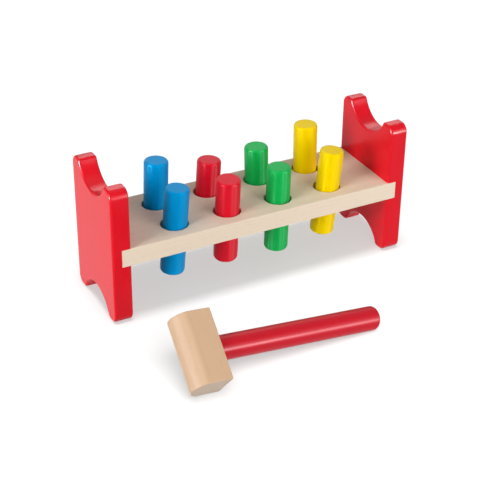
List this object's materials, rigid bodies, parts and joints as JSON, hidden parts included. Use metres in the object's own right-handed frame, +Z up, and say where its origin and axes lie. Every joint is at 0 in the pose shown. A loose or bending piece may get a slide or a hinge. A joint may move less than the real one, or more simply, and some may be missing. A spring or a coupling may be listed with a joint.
{
  "type": "peg pounding bench",
  "caption": "Wooden pounding bench: red notched end panels hold a drilled board with coloured pegs gripped by rubber rings; a wooden mallet with a red handle lies in front.",
  "frame": {"origin": "on the floor, at the centre of the box that the bench and the mallet in front of it fill together", "axes": "+X along the board towards the yellow pegs, +Y from the mallet towards the back of the bench, +Z up"},
  "size_m": [0.27, 0.21, 0.12],
  "materials": {
    "red_lacquer": "smooth red lacquer on wood, satin to gloss",
    "board_wood": "pale close-grained hardwood, sanded, clear matt finish",
    "mallet_wood": "pale close-grained hardwood, sanded, clear matt finish",
    "blue_paint": "smooth blue paint on wood, satin",
    "red_paint": "smooth red paint on wood, satin",
    "green_paint": "smooth green paint on wood, satin",
    "yellow_paint": "smooth yellow paint on wood, satin",
    "ring_rubber": "black moulded rubber, matt"
  },
  "bodies": {
    "bench": {"left_end_panel": "red_lacquer", "right_end_panel": "red_lacquer", "bench_board": "board_wood", "grip_ring_blue_front": "ring_rubber", "grip_ring_red_front": "ring_rubber", "grip_ring_green_front": "ring_rubber", "grip_ring_yellow_front": "ring_rubber", "grip_ring_blue_back": "ring_rubber", "grip_ring_red_back": "ring_rubber", "grip_ring_green_back": "ring_rubber", "grip_ring_yellow_back": "ring_rubber"},
    "blue_front_peg": {"peg_blue_front": "blue_paint"},
    "red_front_peg": {"peg_red_front": "red_paint"},
    "green_front_peg": {"peg_green_front": "green_paint"},
    "yellow_front_peg": {"peg_yellow_front": "yellow_paint"},
    "blue_back_peg": {"peg_blue_back": "blue_paint"},
    "red_back_peg": {"peg_red_back": "red_paint"},
    "green_back_peg": {"peg_green_back": "green_paint"},
    "yellow_back_peg": {"peg_yellow_back": "yellow_paint"},
    "mallet": {"mallet_head": "mallet_wood", "mallet_handle": "red_lacquer"}
  },
  "joints": [
    {"name": "blue_front_peg_drive", "type": "slide", "parent": "bench", "child": "blue_front_peg", "axis": [0.061, -0.0349, 0.9975], "range_m": [-0.022, 0.018]},
    {"name": "red_front_peg_drive", "type": "slide", "parent": "bench", "child": "red_front_peg", "axis": [-0.0087, -0.0872, 0.9962], "range_m": [-0.02, 0.019]},
    {"name": "green_front_peg_drive", "type": "slide", "parent": "bench", "child": "green_front_peg", "axis": [0.0087, -0.0175, 0.9998], "range_m": [-0.02, 0.021]},
    {"name": "yellow_front_peg_drive", "type": "slide", "parent": "bench", "child": "yellow_front_peg", "axis": [0.0784, -0.0262, 0.9966], "range_m": [-0.023, 0.016]},
    {"name": "blue_back_peg_drive", "type": "slide", "parent": "bench", "child": "blue_back_peg", "axis": [0.0349, 0, 0.9994], "range_m": [-0.029, 0.011]},
    {"name": "red_back_peg_drive", "type": "slide", "parent": "bench", "child": "red_back_peg", "axis": [0.061, 0, 0.9981], "range_m": [-0.019, 0.021]},
    {"name": "green_back_peg_drive", "type": "slide", "parent": "bench", "child": "green_back_peg", "axis": [-0.0262, 0, 0.9997], "range_m": [-0.022, 0.019]},
    {"name": "yellow_back_peg_drive", "type": "slide", "parent": "bench", "child": "yellow_back_peg", "axis": [-0.0175, 0, 0.9998], "range_m": [-0.032, 0.009]},
    {"name": "mallet_lift", "type": "slide", "parent": "bench", "child": "mallet", "axis": [0, 0, 1], "range_m": [0, 0.15]}
  ]
}
